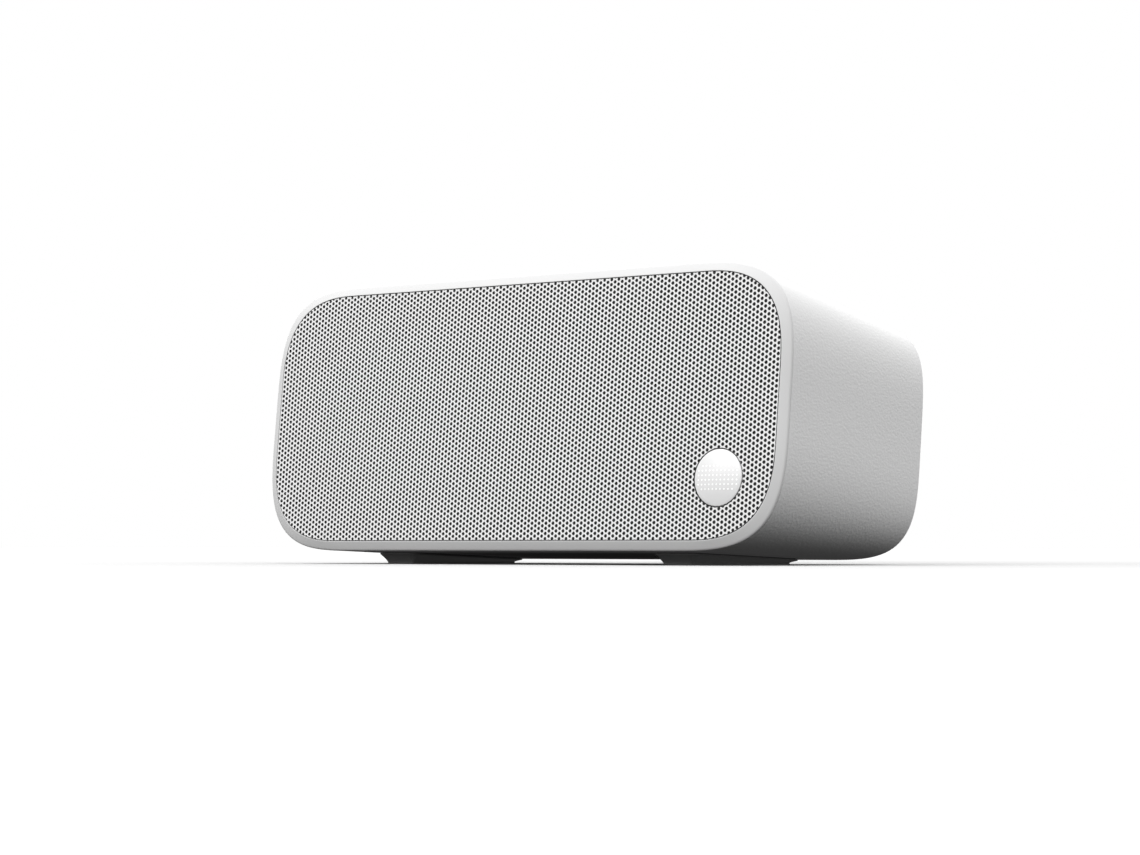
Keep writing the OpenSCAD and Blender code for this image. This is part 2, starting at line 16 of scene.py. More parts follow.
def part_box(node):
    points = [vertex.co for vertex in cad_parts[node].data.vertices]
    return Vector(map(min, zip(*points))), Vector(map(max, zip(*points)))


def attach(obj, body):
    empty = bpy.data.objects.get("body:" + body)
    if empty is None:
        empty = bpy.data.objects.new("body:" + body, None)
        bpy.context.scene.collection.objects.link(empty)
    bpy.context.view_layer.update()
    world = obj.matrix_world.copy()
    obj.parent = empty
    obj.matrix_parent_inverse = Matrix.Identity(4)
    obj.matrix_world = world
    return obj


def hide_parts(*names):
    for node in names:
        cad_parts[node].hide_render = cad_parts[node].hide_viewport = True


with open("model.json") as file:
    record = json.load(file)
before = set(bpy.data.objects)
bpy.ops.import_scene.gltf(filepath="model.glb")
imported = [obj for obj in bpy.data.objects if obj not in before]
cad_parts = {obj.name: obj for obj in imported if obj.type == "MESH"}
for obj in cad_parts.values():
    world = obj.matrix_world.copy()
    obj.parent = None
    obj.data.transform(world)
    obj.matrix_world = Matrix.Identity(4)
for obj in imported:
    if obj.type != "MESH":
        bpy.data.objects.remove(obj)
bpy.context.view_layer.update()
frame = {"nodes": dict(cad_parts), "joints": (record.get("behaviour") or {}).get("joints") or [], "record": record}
NODES = frame["nodes"]
MM = 0.001

# ---- The face's frame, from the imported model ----

PRESS = Vector(next(j["axis"] for j in frame["joints"] if j["name"] == "button_press")).normalized()
RIGHT = Vector((1, 0, 0))
UP = RIGHT.cross(PRESS)


def span(node):
    """Lowest and highest (x, v, d) of a CAD node in scene metres along the face's axes."""
    points = [(p.co.dot(RIGHT), p.co.dot(UP), p.co.dot(PRESS)) for p in NODES[node].data.vertices]
    return [min(c) for c in zip(*points)], [max(c) for c in zip(*points)]


GRILLE_LOW, GRILLE_HIGH = span("grille")
FACE = UP * (GRILLE_LOW[1] + GRILLE_HIGH[1]) / 2 + PRESS * GRILLE_LOW[2]


def place(x, v, d):
    """A point of the face's frame, in millimetres, as a scene position."""
    return FACE + (RIGHT * x + UP * v + PRESS * d) * MM


def local(node):
    """Lowest and highest (x, v, d) of a CAD node in the face's frame, in millimetres."""
    base = (FACE.dot(RIGHT), FACE.dot(UP), FACE.dot(PRESS))
    return [[(c - b) / MM for c, b in zip(corner, base)] for corner in span(node)]


# ---- Driving dimensions ----
# In a name, D is a depth, R a radius, E a corner's superellipse exponent and T a thickness.

(RIM_LOW, RIM_HIGH), (SHELL_LOW, SHELL_HIGH) = local("front_rim"), local("cabinet_shell")
RIM_W, RIM_H = RIM_HIGH[0] - RIM_LOW[0], RIM_HIGH[1] - RIM_LOW[1]
RIM_R, RIM_E = 63.5, 3.5
REAR_R, REAR_E = 54.6, 3.9
BEVEL_D, RIM_BACK_D = 2, 3
SHELL_D0, SHELL_D1 = SHELL_LOW[2], SHELL_HIGH[2]
DRAFT = 9.4
WALL = 3
SPIGOT_D = RIM_HIGH[2]
GRILLE_W = (GRILLE_HIGH[0] - GRILLE_LOW[0]) / MM
GRILLE_H = (GRILLE_HIGH[1] - GRILLE_LOW[1]) / MM
GRILLE_R, GRILLE_E = 46.4, 2.7
GRILLE_T, GRILLE_GAP, CLOTH_T = (GRILLE_HIGH[2] - GRILLE_LOW[2]) / MM, 0.4, 0.3
LEDGE_D = GRILLE_T + CLOTH_T
HOLE_PITCH, HOLE_R, HOLE_BACK_R = 2.5, 0.92, 1.235
SHEET_T, UNDERCUT = 0.24, 0.28
CAP_LOW, CAP_HIGH = local("button_cap")
BUTTON_X = (CAP_LOW[0] + CAP_HIGH[0]) / 2
BUTTON_V = (CAP_LOW[1] + CAP_HIGH[1]) / 2
BUTTON_R, BUTTON_GAP = 13.4, 0.5
CAP_EDGE_D = -0.1
CAP_FACE_D, NECK_END_D, FLANGE_D0, FLANGE_D1 = 1.2, 3.4, 3.9, 4.4
FLANGE_R, SKIRT_R = 14.5, 12.2
CROWN = CAP_EDGE_D - CAP_LOW[2]
DOT_PITCH, DOT_R, DOT_ROWS, DOT_COLUMNS = 2.15, 0.48, 6, 11
CORNER_STEPS = 40


def reach(a, e):
    """How far a superellipse of exponent e and size 1 reaches at angle a."""
    return (abs(math.cos(a)) ** e + abs(math.sin(a)) ** e) ** (-1 / e)


def outline(w, h, r, e):
    """A rounded rectangle with superellipse corners, anticlockwise, as (x, v) points."""
    points = []
    for quarter in range(4):
        sx = 1 if quarter in (0, 3) else -1
        sv = 1 if quarter < 2 else -1
        for step in range(CORNER_STEPS + 1):
            a = math.pi / 2 * (quarter + step / CORNER_STEPS)
            k = r * reach(a, e)
            points.append((sx * (w / 2 - r) + k * math.cos(a), sv * (h / 2 - r) + k * math.sin(a)))
    return points


def grille_outline(grow):
    return outline(GRILLE_W + 2 * grow, GRILLE_H + 2 * grow, GRILLE_R + grow, GRILLE_E)


def inset(d):
    """How far the cabinet's side has closed in at a depth."""
    return DRAFT * (d - BEVEL_D) / (SHELL_D1 - BEVEL_D)


def mixed(near, far, f):
    """Points the share f of the way from one loop to another."""
    return [tuple(a + (b - a) * f for a, b in zip(p, q)) for p, q in zip(near, far)]


def body_outline(shrink, d):
    """The cabinet's outline at a depth, shrunk evenly: the rim's turns evenly into the rear edge's."""
    small = 2 * (DRAFT + shrink)
    near = outline(RIM_W - 2 * shrink, RIM_H - 2 * shrink, RIM_R - shrink, RIM_E)
    far = outline(RIM_W - small, RIM_H - small, REAR_R - shrink, REAR_E)
    return mixed(near, far, inset(d) / DRAFT)


# ---- Mesh helpers ----

def add_piece(name, points, faces, body, slot, node, sharp=30):
    """A mesh that takes a CAD node's place: smooth, but split where faces meet at over sharp degrees."""
    mesh = bpy.data.meshes.new(name)
    mesh.from_pydata(points, [], faces)
    mesh.validate()
    mesh.polygons.foreach_set("use_smooth", [True] * len(mesh.polygons))
    mesh.set_sharp_from_angle(angle=math.radians(sharp))
    mesh.materials.append(SURFACES[slot].material)
    piece = bpy.data.objects.new(name, mesh)
    bpy.context.scene.collection.objects.link(piece)
    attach(piece, body)
    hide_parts(node)
    return piece


def rings_to_mesh(rings, closed):
    """Quads between neighbouring rings of equal length; closed joins the last ring to the first."""
    n = len(rings[0])
    points = [p for ring in rings for p in ring]
    faces = []
    for i in range(len(rings) if closed else len(rings) - 1):
        a, b = i * n, (i + 1) % len(rings) * n
        faces += [(a + k, a + (k + 1) % n, b + (k + 1) % n, b + k) for k in range(n)]
    return points, faces


def ring_at(flat, d):
    return [place(x, v, d) for x, v in flat]


def join(*parts):
    """Several (points, faces) pairs as one."""
    points, faces = [], []
    for more_points, more_faces in parts:
        faces += [tuple(k + len(points) for k in face) for face in more_faces]
        points += more_points
    return points, faces


def turned(profile, x, v, steps=64):
    """A closed profile of (radius, depth) points turned about an axis along the depth."""
    rings = []
    for r, d in profile:
        angles = [2 * math.pi * k / steps for k in range(steps)]
        rings.append([place(x + r * math.cos(a), v + r * math.sin(a), d) for a in angles])
    return rings_to_mesh(rings, closed=False)


def solid_of_turn(profile, x, v, steps=64):
    """Like turned(), for a profile that starts and ends on the axis."""
    inner = profile[1:-1]
    points, faces = turned(inner, x, v, steps)
    first, last = len(points), len(points) + 1
    points += [place(x, v, profile[0][1]), place(x, v, profile[-1][1])]
    end = (len(inner) - 1) * steps
    faces += [(first, (k + 1) % steps, k) for k in range(steps)]
    faces += [(last, end + k, end + (k + 1) % steps) for k in range(steps)]
    return points, faces


def bend(start, corner, end, steps=5):
    """A round corner through (shrink, depth) points, as a quadratic curve."""
    path = []
    for i in range(steps + 1):
        t = i / steps
        path.append(tuple(
            (1 - t) ** 2 * a + 2 * t * (1 - t) * c + t * t * b for a, c, b in zip(start, corner, end)
        ))
    return path


# ---- Materials ----

WHITE = (1, 1, 1, 1)


def rgba(color):
    """A grey level or an RGB colour as RGBA."""
    return (*color, 1) if hasattr(color, "__len__") else (color, color, color, 1)


class Surface:
    """A Principled material whose nodes are built step by step."""

    def __init__(self, name, color, roughness, **sockets):
        self.material = bpy.data.materials.new(name)
        self.material.use_nodes = True
        self.tree = self.material.node_tree
        self.shader = self.tree.nodes["Principled BSDF"]
        self.color = rgba(color)
        self.roughness = roughness
        self.set(self.shader, "Base Color", self.color)
        self.set(self.shader, "Roughness", roughness)
        for socket, value in sockets.items():
            self.set(self.shader, socket.replace("_", " "), value)
        self.coords = self.node("ShaderNodeTexCoord").outputs["Object"]
        self.height = None

    def node(self, kind, **values):
        made = self.tree.nodes.new(kind)
        for name, value in values.items():
            socket = name.replace("_", " ")
            if socket in made.inputs:
                made.inputs[socket].default_value = value
            else:
                setattr(made, name, value)
        return made

    def link(self, output, target):
        self.tree.links.new(output, target)

    def set(self, node, socket, value):
        node.inputs[socket].default_value = value

    def noise(self, scale, detail=4, stretch=(1, 1, 1)):
        """Noise in units per metre, from 0 to 1."""
        mapping = self.node("ShaderNodeMapping", Scale=stretch)
        self.link(self.coords, mapping.inputs["Vector"])
        made = self.node("ShaderNodeTexNoise", Scale=scale, Detail=detail)
        self.link(mapping.outputs["Vector"], made.inputs["Vector"])
        return made.outputs["Fac"]

    def cells(self, scale):
        made = self.node("ShaderNodeTexVoronoi", Scale=scale)
        self.link(self.coords, made.inputs["Vector"])
        return made.outputs["Distance"]

    def waves(self, scale, direction):
        made = self.node("ShaderNodeTexWave", Scale=scale, bands_direction=direction)
        self.link(self.coords, made.inputs["Vector"])
        return made.outputs["Fac"]

    def ranged(self, value, low, high):
        made = self.node("ShaderNodeMapRange", To_Min=low, To_Max=high)
        self.link(value, made.inputs["Value"])
        return made.outputs["Result"]

    def times(self, k):
        """The base colour, k times as bright."""
        return [c * k for c in self.color[:3]]

    def vary_roughness(self, value, spread):
        """Lets the roughness differ from place to place by at most the spread."""
        varied = self.ranged(value, self.roughness - spread, self.roughness + spread)
        self.link(varied, self.shader.inputs["Roughness"])
        return self

    def vary_color(self, value, other):
        """Mixes the base colour towards another by a 0 to 1 value."""
        mix = self.node("ShaderNodeMix", data_type="RGBA")
        mix.inputs[6].default_value = self.color
        mix.inputs[7].default_value = rgba(other)
        self.link(value, mix.inputs[0])
        self.link(mix.outputs[2], self.shader.inputs["Base Color"])
        return self

    def bump(self, value, depth):
        """Adds relief whose full height is depth millimetres."""
        made = self.node("ShaderNodeBump", Strength=1.0, Distance=depth * MM)
        self.link(value, made.inputs["Height"])
        if self.height:
            self.link(self.height.outputs["Normal"], made.inputs["Normal"])
        self.height = made
        self.link(made.outputs["Normal"], self.shader.inputs["Normal"])
        return self


def grained_plastic(name, color):
    """Moulded plastic with a fine pebbled grain and a softer, wider mottle."""
    s = Surface(name, color, 0.62, Specular_IOR_Level=0.35)
    s.bump(s.noise(850, 0.3, (0.8, 0.6, 1)), 0.12)
    s.bump(s.cells(1500), 0.04)
    s.vary_color(s.ranged(s.noise(90, 3), 0, 0.3), s.times(0.97))
    return s.vary_roughness(s.noise(400, 3), 0.06)


def satin_plastic(name, color, roughness=0.42):
    """Smooth moulded plastic with a trace of unevenness."""
    s = Surface(name, color, roughness, Specular_IOR_Level=0.4)
    s.bump(s.noise(2500, 3), 0.004)
    s.vary_color(s.ranged(s.noise(60, 3), 0, 0.3), s.times(0.97))
    return s.vary_roughness(s.noise(180, 4), 0.05)


def powder_coat(name, color):
    """Painted sheet metal: a very fine orange peel."""
    s = Surface(name, color, 0.45, Specular_IOR_Level=0.4)
    s.bump(s.noise(5200, 2), 0.006)
    s.vary_color(s.ranged(s.noise(90, 3), 0, 0.4), s.times(0.965))
    return s.vary_roughness(s.noise(900, 3), 0.07)


def gloss_plastic(name, color, roughness=0.3, **sockets):
    """Polished plastic under a clear, slightly soft gloss."""
    s = Surface(name, color, roughness, Coat_Weight=1.0, Coat_Roughness=0.22, **sockets)
    s.bump(s.noise(140, 2), 0.003)
    s.vary_color(s.ranged(s.noise(50, 3), 0, 0.3), s.times(0.98))
    return s.vary_roughness(s.noise(300, 4), 0.03)


def cloth(name, color, threads=1300):
    """Plain weave: crossed threads, threads per metre."""
    s = Surface(name, color, 0.9, Sheen_Weight=0.3)
    across, along = s.waves(threads / 2, "X"), s.waves(threads / 2, "Z")
    both = s.node("ShaderNodeMath", operation="MULTIPLY")
    s.link(across, both.inputs[0])
    s.link(along, both.inputs[1])
    s.bump(both.outputs[0], 0.12)
    s.vary_color(s.ranged(both.outputs[0], 0, 1), s.times(0.4))
    return s.vary_roughness(s.noise(600, 3), 0.06)


def metal(name, color, roughness):
    """Machined or plated metal with fine drawn lines."""
    stretch = (1, 12, 1)
    s = Surface(name, color, roughness, Metallic=1.0)
    s.bump(s.noise(900, 4, stretch), 0.006)
    s.vary_color(s.ranged(s.noise(120, 4), 0, 0.5), s.times(0.85))
    return s.vary_roughness(s.noise(700, 4, stretch), 0.08)


def rubber(name, color, roughness):
    """Rubber or a ground ferrite: dull and faintly pitted."""
    s = Surface(name, color, roughness, Specular_IOR_Level=0.3)
    s.bump(s.noise(1600, 4), 0.03)
    s.vary_color(s.ranged(s.noise(300, 4), 0, 0.8), s.times(1.5))
    return s.vary_roughness(s.noise(500, 3), 0.08)


def foam(name, color):
    """Open foam with small pores."""
    s = Surface(name, color, 0.95)
    s.bump(s.cells(900), 0.4)
    s.vary_color(s.ranged(s.cells(900), 0.2, 1), s.times(0.3))
    return s.vary_roughness(s.noise(500, 2), 0.04)


def circuit(name, color):
    """Solder mask over copper tracks and ground areas."""
    s = Surface(name, color, 0.35, Specular_IOR_Level=0.5)
    tracks = s.node("ShaderNodeTexBrick", Scale=260.0, Mortar_Size=0.08)
    s.link(s.coords, tracks.inputs["Vector"])
    s.vary_color(tracks.outputs["Fac"], s.times(1.9))
    s.bump(tracks.outputs["Fac"], 0.04)
    return s.vary_roughness(s.noise(400, 3), 0.06)


def pulp(name, color):
    """Pressed paper cone: short matted fibres."""
    s = Surface(name, color, 0.85)
    s.bump(s.noise(900, 6, (1, 1, 4)), 0.08)
    s.vary_color(s.noise(700, 6), s.times(1.6))
    return s.vary_roughness(s.noise(300, 3), 0.07)


SURFACES = {
    "cabinet_plastic": grained_plastic("cabinet_grain", 0.86),
    "rim_plastic": satin_plastic("rim_satin", 0.7),
    "grille_metal": powder_coat("grille_coat", 0.9),
    "acoustic_cloth": cloth("acoustic_weave", 0.012),
    "baffle_plastic": satin_plastic("baffle_black", 0.03, 0.6),
    "gasket_foam": foam("gasket_foam", 0.03),
    "circuit_board": circuit("solder_mask", (0.012, 0.11, 0.045)),
    "led_white": gloss_plastic("led_resin", (0.9, 0.88, 0.7), 0.25),
    "black_plastic": satin_plastic("black_moulding", 0.022, 0.5),
    "cap_plastic": gloss_plastic("cap_gloss", 0.87),
    "light_guide": gloss_plastic("dot_glow", 0.95, 0.3, Emission_Color=WHITE, Emission_Strength=0.35),
    "pin_metal": metal("nickel_pin", 0.75, 0.22),
    "heat_sink_metal": metal("heat_sink_alloy", (0.6, 0.61, 0.63), 0.38),
    "capacitor_sleeve": gloss_plastic("capacitor_sleeve", (0.015, 0.025, 0.09), 0.3),
    "shield_metal": metal("tinned_can", 0.68, 0.3),
    "transformer_core": rubber("ferrite_winding", (0.1, 0.07, 0.05), 0.6),
    "damping_foam": foam("damping_foam", 0.09),
    "lead_jacket": satin_plastic("lead_jacket", (0.35, 0.015, 0.015), 0.45),
    "foot_rubber": gloss_plastic("foot_satin", 0.34, 0.3),
    "black_screw": metal("black_oxide", 0.05, 0.45),
    "plain_screw": metal("zinc_screw", 0.55, 0.35),
    "basket_metal": powder_coat("basket_coat", 0.03),
    "plated_steel": metal("zinc_plate", 0.6, 0.34),
    "ferrite": rubber("ground_ferrite", 0.045, 0.55),
    "spider_cloth": cloth("spider_weave", (0.45, 0.28, 0.07)),
    "surround_rubber": rubber("surround_rubber", 0.02, 0.6),
    "cone_pulp": pulp("cone_pulp", 0.06),
    "copper_coil": metal("copper_coil", (0.65, 0.28, 0.12), 0.3),
    "dome_silk": cloth("dome_silk", 0.06, 3000),
}


for part in frame["record"]["subparts"]:
    carried = NODES[part["node"]]
    carried.data.materials.clear()
    carried.data.materials.append(SURFACES[part["material_slot"]].material)


# ---- Cabinet shell ----

def build_cabinet():
    """One closed shell: outside, rear lip, inside and front lip."""
    front_round, rear_round, inner_round, inner_bevel = 0.25, 1.6, 0.5, 0.3
    path = bend((front_round, SHELL_D0), (0, SHELL_D0), (0, SHELL_D0 + front_round))
    steps = 24
    path += [(0, SHELL_D0 + (SHELL_D1 - rear_round - SHELL_D0) * i / steps) for i in range(1, steps)]
    path += bend((0, SHELL_D1 - rear_round), (0, SHELL_D1), (rear_round, SHELL_D1))
    path += bend((WALL - inner_round, SHELL_D1), (WALL, SHELL_D1), (WALL, SHELL_D1 - inner_round))
    path += [(WALL, SHELL_D0 + inner_bevel), (WALL - inner_bevel, SHELL_D0)]
    rings = [ring_at(body_outline(shrink, d), d) for shrink, d in path]
    points, faces = rings_to_mesh(rings, closed=True)
    add_piece("cabinet_grained", points, faces, "cabinet", "cabinet_plastic", "cabinet_shell")


build_cabinet()


# ---- Front rim ----

def build_rim():
    """The bevelled frame round the grille, with its ledge and the spigot that enters the cabinet."""
    spigot_out, spigot_in = WALL + 0.3, WALL + 2.5
    lip, edge, ledge_w, wall_d = GRILLE_GAP + 0.12, 0.2, 3, 0.35
    inner, outer = grille_outline(lip), body_outline(0, BEVEL_D)
    rings = [ring_at(grille_outline(-ledge_w), d) for d in (RIM_BACK_D, LEDGE_D)]
    rings.append(ring_at(grille_outline(GRILLE_GAP + UNDERCUT), LEDGE_D))
    rings.append(ring_at(grille_outline(GRILLE_GAP), wall_d))
    lip_path = bend((GRILLE_GAP, lip - GRILLE_GAP), (GRILLE_GAP, 0), (lip, 0), 4)
    rings += [ring_at(grille_outline(g), d) for g, d in lip_path]
    steps, flat, crowning = 8, 0.8, 0.14
    for i in range(1, steps + 1):
        t = flat * i / steps
        rings.append(ring_at(mixed(inner, outer, t), BEVEL_D * t * (1 - crowning + crowning * t)))
    corner_start, corner_d, round_steps = rings[-1], BEVEL_D + 0.7, 6
    corner, corner_end = ring_at(outer, BEVEL_D), ring_at(body_outline(0, corner_d), corner_d)
    for i in range(1, round_steps + 1):
        t = i / round_steps
        rings.append([
            a * (1 - t) ** 2 + c * (2 * t * (1 - t)) + b * (t * t)
            for a, c, b in zip(corner_start, corner, corner_end)
        ])
    back_path = bend((0, RIM_BACK_D - edge), (0, RIM_BACK_D), (edge, RIM_BACK_D), 3)
    rings += [ring_at(body_outline(s, d), d) for s, d in back_path]
    rings += [ring_at(body_outline(spigot_out, d), d) for d in (RIM_BACK_D, SPIGOT_D)]
    rings += [ring_at(body_outline(spigot_in, d), d) for d in (SPIGOT_D, RIM_BACK_D)]
    points, faces = rings_to_mesh(rings, closed=True)
    add_piece("rim_smooth", points, faces, "cabinet", "rim_plastic", "front_rim", sharp=40)


build_rim()


# ---- Grille ----

def inside(point, loop):
    """Whether a flat point lies inside a closed loop."""
    x, v = point
    found = False
    for (x1, v1), (x2, v2) in zip(loop, loop[-1:] + loop[:-1]):
        if (v1 > v) != (v2 > v) and x < (x2 - x1) * (v - v1) / (v2 - v1) + x1:
            found = not found
    return found


def circle(x, v, r, n):
    angles = [2 * math.pi * k / n for k in range(n)]
    return [(x + r * math.cos(a), v + r * math.sin(a)) for a in angles]


def lattice():
    """Centres of a regular hexagonal lattice whose columns stand upright."""
    column = HOLE_PITCH * math.sqrt(3) / 2
    across, up = int(GRILLE_W / 2 / column) + 2, int(GRILLE_H / 2 / HOLE_PITCH) + 2
    for i in range(-across, across + 1):
        for j in range(-up, up + 1):
            yield i * column, (j + (i % 2) / 2) * HOLE_PITCH


def cut_sheet(edge, holes):
    """Cuts holes in a flat sheet; gives points, triangles, loops and the points where loops cross."""
    points, loops = [], []
    for loop in [edge] + holes:
        loops.append(list(range(len(points), len(points) + len(loop))))
        points += [Vector(p) for p in loop]
    made, _, triangles, origins, _, owners = delaunay_2d_cdt(points, [], loops, 0, 1e-6)
    kept = [tuple(t) for t, owner in zip(triangles, owners) if list(owner) == [0]]
    where = {start: k for k, starts in enumerate(origins) for start in starts}
    crossings = [k for k, starts in enumerate(origins) if not starts]
    return [tuple(p) for p in made], kept, [[where[k] for k in loop] for loop in loops], crossings


def rim_edges(triangles):
    """Directed edges that only one triangle uses, in that triangle's order."""
    used = {}
    for t in triangles:
        for a, b in zip(t, t[1:] + t[:1]):
            used[(a, b)] = True
    return [edge for edge in used if (edge[1], edge[0]) not in used]


def build_grille():
    """A sheet with every hole cut through; holes and edges are wider behind, as punching leaves them."""
    front_sides, back_sides = 8, 4
    edge_margin, button_margin = 1.2 * HOLE_R, 1.15 * HOLE_R
    edge, margin = grille_outline(0), grille_outline(-edge_margin)
    button = circle(BUTTON_X, BUTTON_V, BUTTON_R + BUTTON_GAP, 96)
    near_button = BUTTON_R + BUTTON_GAP + button_margin
    whole, clipped = [], []
    for x, v in lattice():
        away = math.hypot(x - BUTTON_X, v - BUTTON_V)
        if away < near_button - 2 * HOLE_R:
            continue
        if away > near_button and inside((x, v), margin):
            whole.append((x, v))
        elif away <= near_button or any(inside(p, edge) for p in circle(x, v, HOLE_R, front_sides)):
            clipped.append((x, v))
    part_holes = [circle(x, v, HOLE_R, front_sides) for x, v in clipped]
    front_holes = [circle(x, v, HOLE_R, front_sides) for x, v in whole]
    back_holes = [circle(x, v, HOLE_BACK_R, back_sides) for x, v in whole]
    skipped = 2 + len(part_holes)
    front, front_faces, front_loops, _ = cut_sheet(edge, [button] + part_holes + front_holes)
    back, back_faces, back_loops, crossings = cut_sheet(edge, [button] + part_holes + back_holes)
    n = len(front)
    faces = [(a, c, b) for a, b, c in front_faces] + [tuple(k + n for k in t) for t in back_faces]
    walled = set()
    for eight, four in zip(front_loops[skipped:], back_loops[skipped:]):
        walled.update(eight)
        for q in range(back_sides):
            a, b, c = eight[2 * q], eight[2 * q + 1], eight[(2 * q + 2) % front_sides]
            d, e = four[q] + n, four[(q + 1) % back_sides] + n
            faces += [(a, b, d), (b, e, d), (b, c, e)]
    behind = KDTree(len(back))
    for k, (x, v) in enumerate(back):
        behind.insert((x, v, 0), k + n)
    behind.balance()
    for a, b in rim_edges(front_faces):
        if a not in walled:
            c, d = (behind.find((*front[k], 0))[1] for k in (a, b))
            faces.append((a, b, d, c))
    on_edge = set(back_loops[0] + back_loops[1] + crossings)
    points = [place(x, v, 0) for x, v in front]
    for k, (x, v) in enumerate(back):
        away = math.hypot(x - BUTTON_X, v - BUTTON_V)
        if k in on_edge and away < BUTTON_R + 2 * BUTTON_GAP:
            grow = 1 + UNDERCUT / away
            x, v = BUTTON_X + (x - BUTTON_X) * grow, BUTTON_V + (v - BUTTON_V) * grow
        elif k in on_edge:
            x, v = x * (1 - 2 * UNDERCUT / GRILLE_W), v * (1 - 2 * UNDERCUT / GRILLE_H)
        points.append(place(x, v, SHEET_T))
    add_piece("grille_perforated", points, faces, "cabinet", "grille_metal", "grille", sharp=35)


build_grille()


# ---- Acoustic cloth ----


def build_cloth():
    """Black cloth stretched flat across the back of the grille, cut out round the button."""
    under_gap, clear = GRILLE_GAP - 0.05, 0.02
    edge = grille_outline(under_gap)
    opening_r = 17.3
    opening = circle(BUTTON_X, BUTTON_V, opening_r, 64)
    flat, triangles, _, _ = cut_sheet(edge, [opening])
    n = len(flat)
    front_d, back_d = GRILLE_T + clear, LEDGE_D - clear
    points = [place(x, v, front_d) for x, v in flat] + [place(x, v, back_d) for x, v in flat]
    faces = [(a, c, b) for a, b, c in triangles] + [(a + n, b + n, c + n) for a, b, c in triangles]
    faces += [(a, b, b + n, a + n) for a, b in rim_edges(triangles)]
    piece = add_piece("acoustic_cloth", points, faces, "cabinet", "acoustic_cloth", "grille_cloth")


build_cloth()


# ---- Button ----

def crown(r):
    return CROWN * (1 - (r / BUTTON_R) ** 2)


def build_cap():
    """The crowned disc with a rounded edge, its skirt and its retaining flange."""
    edge_r = 0.45
    top = [(BUTTON_R - edge_r) * i / 12 for i in range(13)]
    profile = [(r, CAP_EDGE_D - crown(r)) for r in top]
    start = profile[-1]
    profile += bend(start, (BUTTON_R, start[1] + 0.08), (BUTTON_R, start[1] + edge_r), 5)[1:]
    neck_r = BUTTON_R - 0.5
    profile += [(neck_r, start[1] + edge_r + 0.4), (neck_r, NECK_END_D), (BUTTON_R, FLANGE_D0)]
    profile += [(FLANGE_R, FLANGE_D0), (FLANGE_R, FLANGE_D1), (SKIRT_R, FLANGE_D1)]
    profile += [(SKIRT_R, CAP_FACE_D), (0, CAP_FACE_D)]
    post_r, post_v = 1.3, 9.2
    post = [(0, CAP_FACE_D - 0.1), (post_r, CAP_FACE_D - 0.1), (post_r, NECK_END_D), (0, NECK_END_D)]
    posts = [solid_of_turn(post, BUTTON_X, BUTTON_V + v, 24) for v in (-post_v, post_v)]
    points, faces = join(solid_of_turn(profile, BUTTON_X, BUTTON_V, 96), *posts)
    add_piece("button_disc", points, faces, "button", "cap_plastic", "button_cap", sharp=50)


def build_dots():
    """The light guide: a plate inside the cap and one small lens for each dot of the display."""
    lenses = []
    proud, root_d = 0.05, 1.3
    for row in range(DOT_ROWS):
        for column in range(DOT_COLUMNS):
            if row in (0, DOT_ROWS - 1) and column in (0, DOT_COLUMNS - 1):
                continue
            x, v = (column - (DOT_COLUMNS - 1) / 2) * DOT_PITCH, (row - (DOT_ROWS - 1) / 2) * DOT_PITCH
            top = CAP_EDGE_D - crown(math.hypot(x, v))
            dome = [(0, top - proud), (DOT_R * 0.6, top - proud * 0.75), (DOT_R, top + 0.06)]
            dome += [(DOT_R, root_d), (0, root_d)]
            lenses.append(solid_of_turn(dome, BUTTON_X + x, BUTTON_V + v, 16))
    plate_w, plate_h, plate_r, plate_d = 22.9, 12.6, 4, (1.25, 2.5)
    loop = [(BUTTON_X + x, BUTTON_V + v) for x, v in outline(plate_w, plate_h, plate_r, 2)]
    n = len(loop)
    plate = (
        [place(x, v, d) for d in plate_d for x, v in loop],
        [tuple(reversed(range(n))), tuple(range(n, 2 * n))]
        + [(k, (k + 1) % n, n + (k + 1) % n, n + k) for k in range(n)],
    )
    points, faces = join(plate, *lenses)
    add_piece("light_dots", points, faces, "button", "light_guide", "light_guide")


build_cap()
build_dots()


# ---- Feet ----

FOOT_SCREWS_Y = (-30, 14)


def underside(y):
    """Height of the cabinet's flat underside, in scene metres, at a scene y."""
    low = [place(0, -(RIM_H / 2 - inset(d)), d) for d in (SHELL_D0, SHELL_D1)]
    return low[0].z + (low[1].z - low[0].z) * (y - low[0].y) / (low[1].y - low[0].y)


